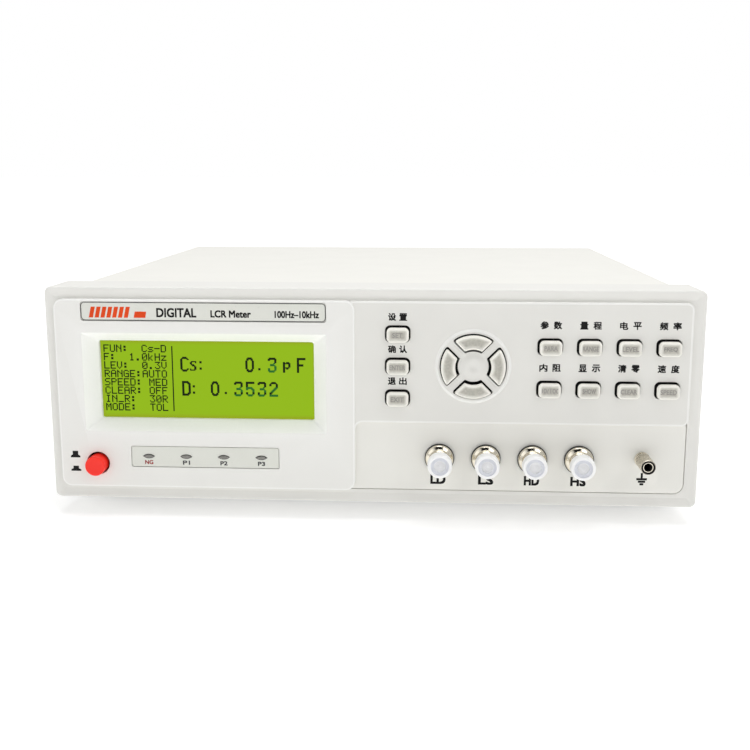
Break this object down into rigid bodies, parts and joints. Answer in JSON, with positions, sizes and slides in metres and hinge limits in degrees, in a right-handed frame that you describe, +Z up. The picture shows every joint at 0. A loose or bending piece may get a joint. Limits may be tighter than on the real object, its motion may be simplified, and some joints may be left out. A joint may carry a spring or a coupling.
{
  "type": "benchtop LCR meter",
  "caption": "Benchtop LCR meter: moulded front with a sloping-sided display, push keys, a four-way pad, capped BNC terminals and an earth post on a sheet-metal case.",
  "frame": {"origin": "middle of the whole meter's box, on the table that the feet stand on", "axes": "+X to the right seen from the front and along the widest dimension, +Y from the front panel to the rear panel, +Z up"},
  "size_m": [0.31, 0.3024, 0.113],
  "materials": {
    "front_moulding": "fine satin grain, warm light grey ABS",
    "terminal_plate": "satin, light grey",
    "overlay": "satin printed film",
    "indicator_lens": "unlit diffused lens",
    "circuit_board": "green solder mask",
    "black_metal": "satin black",
    "lcd_glass": "backlit yellow-green graphic display",
    "red_button": "semi-gloss red",
    "black_plastic": "satin",
    "keycap": "matt warm grey with faint grey legend",
    "plated_connector": "bright nickel plate",
    "polythene": "milky translucent",
    "nickel": "satin nickel plate, knurled",
    "case_paint": "fine powder coat, off-white",
    "plated_steel": "zinc plate",
    "foot_rubber": "matt",
    "laminations": "varnished laminations",
    "winding": "enamelled copper",
    "aluminium_can": "sleeved can",
    "ribbon": "grey flat cable"
  },
  "bodies": {
    "root": {"front_bezel": "front_moulding", "terminal_plate": "terminal_plate", "nameplate": "overlay", "indicator_strip": "overlay", "led_ng": "indicator_lens", "led_p1": "indicator_lens", "led_p2": "indicator_lens", "led_p3": "indicator_lens", "indicator_board": "circuit_board", "lcd_frame": "black_metal", "lcd_glass": "lcd_glass", "lcd_board": "circuit_board", "power_switch": "black_plastic", "keypad_board": "circuit_board", "bnc_ld": "plated_connector", "bnc_ls": "plated_connector", "bnc_hd": "plated_connector", "bnc_hs": "plated_connector", "ground_post": "nickel", "top_cover": "case_paint", "chassis_tray": "plated_steel", "rear_panel": "case_paint", "front_foot_right": "foot_rubber", "front_foot_left": "foot_rubber", "rear_foot_right": "foot_rubber", "rear_foot_left": "foot_rubber", "power_inlet": "black_plastic", "serial_connector": "plated_steel", "handler_connector": "plated_steel", "transformer_core": "laminations", "transformer_winding": "winding", "main_board": "circuit_board", "shield_box": "plated_steel", "reservoir_capacitor": "aluminium_can", "ribbon_cable": "ribbon"},
    "power_button": {"power_button": "red_button"},
    "key_set": {"key_set": "keycap"},
    "key_enter": {"key_enter": "keycap"},
    "key_exit": {"key_exit": "keycap"},
    "key_para": {"key_para": "keycap"},
    "key_range": {"key_range": "keycap"},
    "key_level": {"key_level": "keycap"},
    "key_freq": {"key_freq": "keycap"},
    "key_res": {"key_res": "keycap"},
    "key_disp": {"key_disp": "keycap"},
    "key_zero": {"key_zero": "keycap"},
    "key_speed": {"key_speed": "keycap"},
    "nav_right": {"nav_right": "keycap"},
    "nav_up": {"nav_up": "keycap"},
    "nav_left": {"nav_left": "keycap"},
    "nav_down": {"nav_down": "keycap"},
    "dust_cap_ld": {"dust_cap_ld": "polythene"},
    "dust_cap_ls": {"dust_cap_ls": "polythene"},
    "dust_cap_hd": {"dust_cap_hd": "polythene"},
    "dust_cap_hs": {"dust_cap_hs": "polythene"},
    "ground_washer": {"ground_washer": "nickel"},
    "ground_nut": {"ground_nut": "nickel"},
    "fuse_drawer": {"fuse_drawer": "black_plastic"},
    "tilt_leg_right": {"tilt_leg_right": "black_plastic"},
    "tilt_leg_left": {"tilt_leg_left": "black_plastic"}
  },
  "joints": [
    {"name": "power_button_push", "type": "slide", "parent": "root", "child": "power_button", "axis": [0, -1, 0], "range_m": [-0.0008, 0.003]},
    {"name": "key_set_press", "type": "slide", "parent": "root", "child": "key_set", "axis": [0, 1, 0], "range_m": [0, 0.0012], "stiffness_N_per_m": 600},
    {"name": "key_enter_press", "type": "slide", "parent": "root", "child": "key_enter", "axis": [0, 1, 0], "range_m": [0, 0.0012], "stiffness_N_per_m": 600},
    {"name": "key_exit_press", "type": "slide", "parent": "root", "child": "key_exit", "axis": [0, 1, 0], "range_m": [0, 0.0012], "stiffness_N_per_m": 600},
    {"name": "key_para_press", "type": "slide", "parent": "root", "child": "key_para", "axis": [0, 1, 0], "range_m": [0, 0.0012], "stiffness_N_per_m": 600},
    {"name": "key_range_press", "type": "slide", "parent": "root", "child": "key_range", "axis": [0, 1, 0], "range_m": [0, 0.0012], "stiffness_N_per_m": 600},
    {"name": "key_level_press", "type": "slide", "parent": "root", "child": "key_level", "axis": [0, 1, 0], "range_m": [0, 0.0012], "stiffness_N_per_m": 600},
    {"name": "key_freq_press", "type": "slide", "parent": "root", "child": "key_freq", "axis": [0, 1, 0], "range_m": [0, 0.0012], "stiffness_N_per_m": 600},
    {"name": "key_res_press", "type": "slide", "parent": "root", "child": "key_res", "axis": [0, 1, 0], "range_m": [0, 0.0012], "stiffness_N_per_m": 600},
    {"name": "key_disp_press", "type": "slide", "parent": "root", "child": "key_disp", "axis": [0, 1, 0], "range_m": [0, 0.0012], "stiffness_N_per_m": 600},
    {"name": "key_zero_press", "type": "slide", "parent": "root", "child": "key_zero", "axis": [0, 1, 0], "range_m": [0, 0.0012], "stiffness_N_per_m": 600},
    {"name": "key_speed_press", "type": "slide", "parent": "root", "child": "key_speed", "axis": [0, 1, 0], "range_m": [0, 0.0012], "stiffness_N_per_m": 600},
    {"name": "nav_right_press", "type": "slide", "parent": "root", "child": "nav_right", "axis": [0, 1, 0], "range_m": [0, 0.0008], "stiffness_N_per_m": 800},
    {"name": "nav_up_press", "type": "slide", "parent": "root", "child": "nav_up", "axis": [0, 1, 0], "range_m": [0, 0.0008], "stiffness_N_per_m": 800},
    {"name": "nav_left_press", "type": "slide", "parent": "root", "child": "nav_left", "axis": [0, 1, 0], "range_m": [0, 0.0008], "stiffness_N_per_m": 800},
    {"name": "nav_down_press", "type": "slide", "parent": "root", "child": "nav_down", "axis": [0, 1, 0], "range_m": [0, 0.0008], "stiffness_N_per_m": 800},
    {"name": "dust_cap_ld_pull", "type": "slide", "parent": "root", "child": "dust_cap_ld", "axis": [0, -1, 0], "range_m": [0, 0.018]},
    {"name": "dust_cap_ls_pull", "type": "slide", "parent": "root", "child": "dust_cap_ls", "axis": [0, -1, 0], "range_m": [0, 0.018]},
    {"name": "dust_cap_hd_pull", "type": "slide", "parent": "root", "child": "dust_cap_hd", "axis": [0, -1, 0], "range_m": [0, 0.018]},
    {"name": "dust_cap_hs_pull", "type": "slide", "parent": "root", "child": "dust_cap_hs", "axis": [0, -1, 0], "range_m": [0, 0.018]},
    {"name": "ground_washer_lift", "type": "slide", "parent": "root", "child": "ground_washer", "axis": [0, -1, 0], "range_m": [0, 0.004]},
    {"name": "ground_nut_turn", "type": "hinge", "parent": "ground_washer", "child": "ground_nut", "pos_m": [0.1287, -0.1449, 0.0327], "axis": [0, -1, 0], "range_deg": [0, 1800]},
    {"name": "fuse_drawer_slide", "type": "slide", "parent": "root", "child": "fuse_drawer", "axis": [0, 1, 0], "range_m": [0, 0.015]},
    {"name": "tilt_leg_right_fold", "type": "hinge", "parent": "root", "child": "tilt_leg_right", "pos_m": [0.12, -0.07035, 0.007], "axis": [-1, 0, 0], "range_deg": [0, 100]},
    {"name": "tilt_leg_left_fold", "type": "hinge", "parent": "root", "child": "tilt_leg_left", "pos_m": [-0.12, -0.07035, 0.007], "axis": [-1, 0, 0], "range_deg": [0, 100]}
  ],
  "couplings": [
    {"joint": "ground_nut_turn", "follows": "ground_washer_lift", "rad_per_m": 7854}
  ]
}
